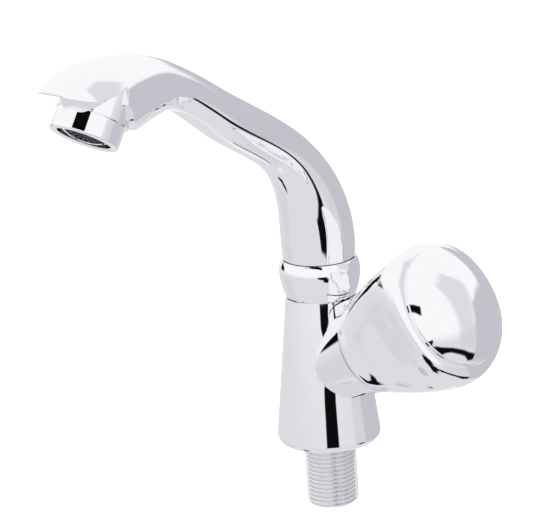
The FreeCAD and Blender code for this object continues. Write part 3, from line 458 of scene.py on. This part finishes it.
outer_rings, water_rings = neck_rings()
neck_mesh = combined_mesh(closed_mesh("neck_solid", outer_rings), neck_tools(water_rings))
neck_mesh.materials.clear()
neck_mesh.materials.append(FINISHES["polished_chrome"])
neck_mesh.shade_smooth()
neck = add_object("swan_neck", neck_mesh)
rounding = neck.modifiers.new("rounding", "BEVEL")
rounding.width = EDGE_ROUNDING
rounding.segments = EDGE_ROUNDING_STEPS
rounding.limit_method = "ANGLE"
rounding.angle_limit = EDGE_ROUNDED_FROM
evening = neck.modifiers.new("evening", "WEIGHTED_NORMAL")
evening.keep_sharp = True
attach(neck, "spout")
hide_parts("spout_casting")


# Camera

FOCAL_PX = 2637.68
IMAGE_WIDTH_PX = 535
SENSOR_WIDTH_MM = 36
NEAREST_SEEN, FARTHEST_SEEN = 0.05, 50
RIGHT = Vector((0.74664686, 0.66224132, -0.06288804))
UP = Vector((-0.1492563, 0.25890248, 0.95430187))
FORWARD = Vector((-0.64826, 0.70314006, -0.29215241))
EYE = Vector((0.663283, -0.749705, 0.380007))

camera_data = bpy.data.cameras.new("camera")
camera_data.sensor_width = SENSOR_WIDTH_MM
camera_data.sensor_fit = "HORIZONTAL"
camera_data.lens = FOCAL_PX / IMAGE_WIDTH_PX * SENSOR_WIDTH_MM
camera_data.clip_start = NEAREST_SEEN
camera_data.clip_end = FARTHEST_SEEN
camera = add_object("camera", camera_data)
turn = Matrix((RIGHT, UP, -FORWARD)).transposed().to_4x4()
turn.translation = EYE
camera.matrix_world = turn
bpy.context.scene.camera = camera


# Studio

FLOOR = -0.0272
FLOOR_REACH = 6
FLOOR_COLOUR = (0.9, 0.9, 0.9, 1)
FLOOR_ROUGHNESS = 0.9
FLOOR_GLOW = 0.6
LIGHT_COLOUR = (1, 1, 1, 1)
LIGHT_STRENGTH = 1.0


def panel(name, corners, material):
    mesh = bpy.data.meshes.new(name)
    mesh.from_pydata(corners, [], [tuple(range(len(corners)))])
    mesh.materials.append(material)
    thing = add_object(name, mesh)
    return thing


floor_finish, _, floor_shader = new_material("floor_finish")
floor_shader.inputs["Base Color"].default_value = FLOOR_COLOUR
floor_shader.inputs["Roughness"].default_value = FLOOR_ROUGHNESS
floor_shader.inputs["Emission Color"].default_value = LIGHT_COLOUR
floor_shader.inputs["Emission Strength"].default_value = FLOOR_GLOW
floor_corners = [(-FLOOR_REACH, -FLOOR_REACH, FLOOR), (FLOOR_REACH, -FLOOR_REACH, FLOOR),
                 (FLOOR_REACH, FLOOR_REACH, FLOOR), (-FLOOR_REACH, FLOOR_REACH, FLOOR)]
floor = panel("floor", floor_corners, floor_finish)
floor.visible_glossy = False

world = bpy.data.worlds.new("studio")
bpy.context.scene.world = world
world.use_nodes = True
world.node_tree.nodes["Background"].inputs["Color"].default_value = LIGHT_COLOUR
world.node_tree.nodes["Background"].inputs["Strength"].default_value = LIGHT_STRENGTH


# Surrounds of the studio, which only reflections see

AHEAD = Vector((-FORWARD.x, -FORWARD.y, 0)).normalized()
ASIDE = Vector((RIGHT.x, RIGHT.y, 0)).normalized()
TAP_MIDDLE = Vector((0, 0, 0.07))
LEAST_SHARE = 1e-6

BLACK = (0.004, 0.004, 0.005)
GREY = (0.57, 0.57, 0.62)
SILVER = (0.7, 0.7, 0.74)
PALE = (0.76, 0.76, 0.79)

# How wide the fading edge of a painted shape is, in degrees.
HAZY, SOFT, FIRM, CRISP = 16, 10, 6, 2

# Painted shapes. A corner is its turn from the camera's side towards the camera's right, and its height above
# the horizon, both in degrees.
BELOW_HORIZON = [(-179, -4), (179, -4), (179, -88), (-179, -88)]
HIGH_RIGHT = [(58, -14), (60, 62), (104, 62), (106, 34), (92, 20), (84, 2), (84, -14)]
LEVEL_RIGHT = [(58, -22), (58, -2), (86, 0), (86, -22)]
BACK_RIGHT = [(84, -2), (92, 19), (113, 20), (128, 15), (150, 20), (172, 14), (179, -8), (150, -28),
              (134, -35), (112, -36), (86, -36)]
LOW_LEFT = [(-96, -16), (-128, -18), (-140, -40), (-112, -50), (-90, -44)]
LONG_GAP = [(-8, -3), (-8, -10), (6, -14), (8, -21), (24, -23), (44, -23), (68, -30), (78, -36), (88, -35),
            (88, -29), (74, -26), (66, -23), (46, -17), (30, -14), (19, -10), (19, -3)]
HIGH_GAP = [(-45, 50), (-5, 46), (7, 43), (7, 30), (-5, 36), (-45, 41)]
LEFT_GAP = [(-140, 9), (-121, 5), (-118, -4), (-140, -6)]
LOW_GAP = [(-125, -62), (-104, -61), (-80, -50), (-80, -59), (-98, -69), (-125, -67)]


def far_off(turned, lifted, distance):
    """A place by its turn from the camera's side and its height above the horizon, in degrees."""
    around, up = math.radians(turned), math.radians(lifted)
    level = AHEAD * math.cos(around) + ASIDE * math.sin(around)
    return (level * math.cos(up) + Vector((0, 0, math.sin(up)))) * distance


def inside_by(points, outline):
    """How far inside an outline each point lies, and below 0 outside it."""
    corners = np.array(outline, float)
    nearest = np.full(len(points), np.inf)
    crossings = np.zeros(len(points), bool)
    for start, end in zip(corners, np.roll(corners, -1, axis=0)):
        way = end - start
        past = points - start
        share = np.clip(past @ way / (way @ way), 0, 1)
        nearest = np.minimum(nearest, np.linalg.norm(past - share[:, None] * way, axis=1))
        straddles = (start[1] > points[:, 1]) != (end[1] > points[:, 1])
        with np.errstate(divide="ignore", invalid="ignore"):
            meets = start[0] + (points[:, 1] - start[1]) * way[0] / way[1]
        crossings ^= straddles & (points[:, 0] < meets)
    return np.where(crossings, nearest, -nearest)


def paint_for(points, shapes):
    """Colour and cover at each point, with each shape laid over the ones before it."""
    colours = np.ones((len(points), 4), np.float32)
    colours[:, 3] = 0
    for outline, shade, soft in shapes:
        share = ease(np.clip(0.5 + inside_by(points, outline) / soft, 0, 1))[:, None]
        held = colours[:, 3:]
        total = share + held * (1 - share)
        mixed = np.array(shade) * share + colours[:, :3] * held * (1 - share)
        mixed = mixed / np.maximum(total, LEAST_SHARE)
        colours = np.hstack([np.where(total > LEAST_SHARE, mixed, colours[:, :3]), total]).astype(np.float32)
    return colours


def surround_finish():
    """Light of the painted colour where there is paint, seen from the front, and clear elsewhere."""
    material = bpy.data.materials.new("surround_finish")
    material.use_nodes = True
    tree = material.node_tree
    tree.nodes.clear()
    paint = add_node(tree, "ShaderNodeVertexColor", layer_name="paint")
    side = add_node(tree, "ShaderNodeNewGeometry")
    front = add_node(tree, "ShaderNodeMath", operation="SUBTRACT", use_clamp=True)
    glow = add_node(tree, "ShaderNodeEmission")
    clear = add_node(tree, "ShaderNodeBsdfTransparent")
    blend = add_node(tree, "ShaderNodeMixShader")
    out = add_node(tree, "ShaderNodeOutputMaterial")
    tree.links.new(paint.outputs["Alpha"], front.inputs[0])
    tree.links.new(side.outputs["Backfacing"], front.inputs[1])
    tree.links.new(paint.outputs["Color"], glow.inputs["Color"])
    tree.links.new(front.outputs["Value"], blend.inputs["Fac"])
    tree.links.new(clear.outputs["BSDF"], blend.inputs[1])
    tree.links.new(glow.outputs["Emission"], blend.inputs[2])
    tree.links.new(blend.outputs["Shader"], out.inputs["Surface"])
    return material


def surround_mesh(name, distance, shapes, step, margin):
    """A grid over all the shapes, whose front faces the tap."""
    corners = np.array([corner for outline, shade, soft in shapes for corner in outline], float)
    low, high = corners.min(axis=0) - margin, corners.max(axis=0) + margin
    counts = np.maximum(np.ceil((high - low) / step).astype(int), 1) + 1
    turned, lifted = (np.linspace(low[axis], high[axis], counts[axis]) for axis in (0, 1))
    points = np.array([(one, other) for other in lifted for one in turned])
    width = counts[0]
    faces = [(row * width + column, row * width + column + 1, (row + 1) * width + column + 1,
              (row + 1) * width + column) for row in range(counts[1] - 1) for column in range(width - 1)]
    mesh = bpy.data.meshes.new(name)
    mesh.from_pydata([far_off(*point, distance) for point in points], [], faces)
    middle = mesh.polygons[len(mesh.polygons) // 2]
    if middle.normal.dot(TAP_MIDDLE - middle.center) < 0:
        mesh.flip_normals()
    layer = mesh.color_attributes.new("paint", "FLOAT_COLOR", "POINT")
    layer.data.foreach_set("color", paint_for(points, shapes).ravel())
    return mesh


def surround(name, distance, shapes, step, margin):
    """Part of a sphere round the tap, painted with soft-edged shapes and clear elsewhere and from behind."""
    thing = add_object(name, surround_mesh(name, distance, shapes, step, margin))
    thing.data.materials.append(PAINTED_LIGHT)
    thing.visible_camera = False
    thing.visible_diffuse = False
    thing.visible_shadow = False


GREY_SHAPES = [
    (BELOW_HORIZON, PALE, HAZY),
    (HIGH_RIGHT, PALE, SOFT),
    (LEVEL_RIGHT, SILVER, FIRM),
    (BACK_RIGHT, GREY, FIRM),
    (LOW_LEFT, SILVER, FIRM),
]
DARK_SHAPES = [
    (LONG_GAP, BLACK, CRISP),
    (HIGH_GAP, BLACK, CRISP),
    (LEFT_GAP, BLACK, CRISP),
    (LOW_GAP, BLACK, CRISP),
]
PAINTED_LIGHT = surround_finish()
surround("studio_greys", distance=5, shapes=GREY_SHAPES, step=2, margin=8)
surround("studio_darks", distance=4.8, shapes=DARK_SHAPES, step=1, margin=2)


# View transform

scene = bpy.context.scene
scene.view_settings.view_transform = "Standard"
